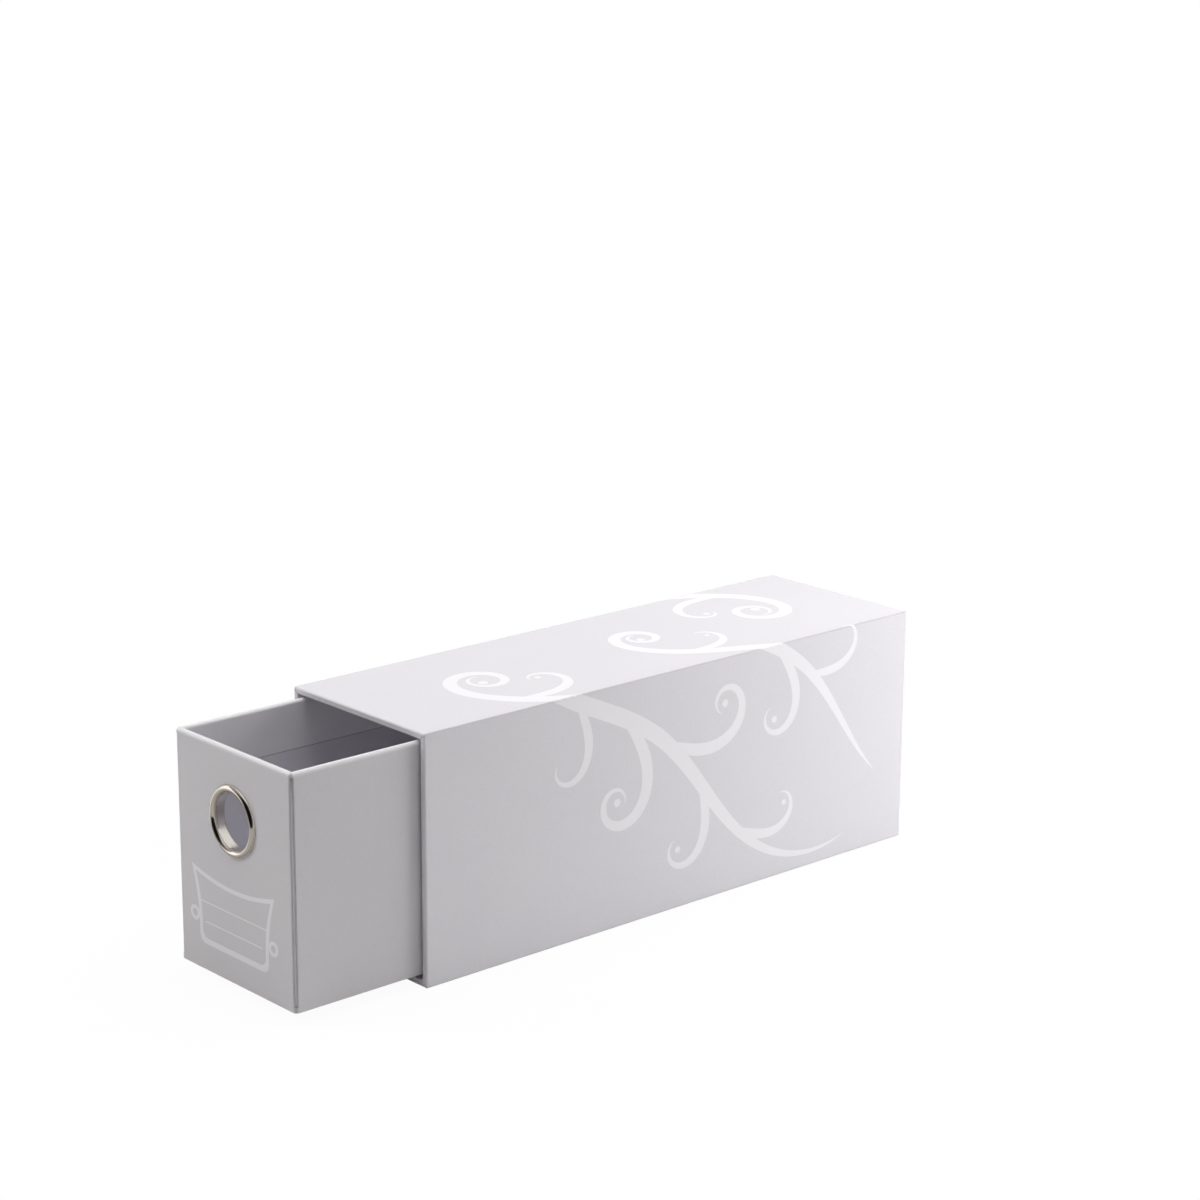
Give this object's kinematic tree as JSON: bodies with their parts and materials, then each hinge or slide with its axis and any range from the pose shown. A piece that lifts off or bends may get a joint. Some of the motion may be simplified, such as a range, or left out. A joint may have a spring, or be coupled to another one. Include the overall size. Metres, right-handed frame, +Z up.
{
  "type": "trading card drawer box",
  "caption": "Rigid paper-wrapped card box: a long open-ended sleeve and an open-topped drawer that slides out by a metal finger ring.",
  "frame": {"origin": "middle of the sleeve's underside, on the surface that it stands on", "axes": "+Z up; -Y is the way the drawer opens; +X is to the right when facing the drawer's front"},
  "size_m": [0.086, 0.3399, 0.107],
  "materials": {
    "greyboard": "grey recycled board, cut edges",
    "sleeve_paper": "matt laminated wrap, pale cool grey with a paler print",
    "drawer_paper": "matt laminated wrap, pale cool grey",
    "lining_paper": "uncoated lining paper, grey",
    "backing_paper": "matt laminated sheet",
    "ring_steel": "bright nickel plate"
  },
  "bodies": {
    "sleeve": {"sleeve_top_board": "greyboard", "sleeve_bottom_board": "greyboard", "sleeve_left_board": "greyboard", "sleeve_right_board": "greyboard", "sleeve_back_board": "greyboard", "sleeve_liner": "lining_paper", "sleeve_back_liner": "lining_paper", "sleeve_wrap": "sleeve_paper", "sleeve_back_paper": "backing_paper", "sleeve_base_paper": "backing_paper"},
    "drawer": {"drawer_base_board": "greyboard", "drawer_front_board": "greyboard", "drawer_back_board": "greyboard", "drawer_left_board": "greyboard", "drawer_right_board": "greyboard", "drawer_liner": "lining_paper", "drawer_floor_liner": "lining_paper", "drawer_wrap": "drawer_paper", "drawer_front_wrap": "drawer_paper", "finger_ring": "ring_steel", "finger_ring_collar": "ring_steel"}
  },
  "joints": [
    {"name": "drawer_slide", "type": "slide", "parent": "sleeve", "child": "drawer", "axis": [0, -1, 0], "range_m": [-0.0614, 0.215]}
  ]
}
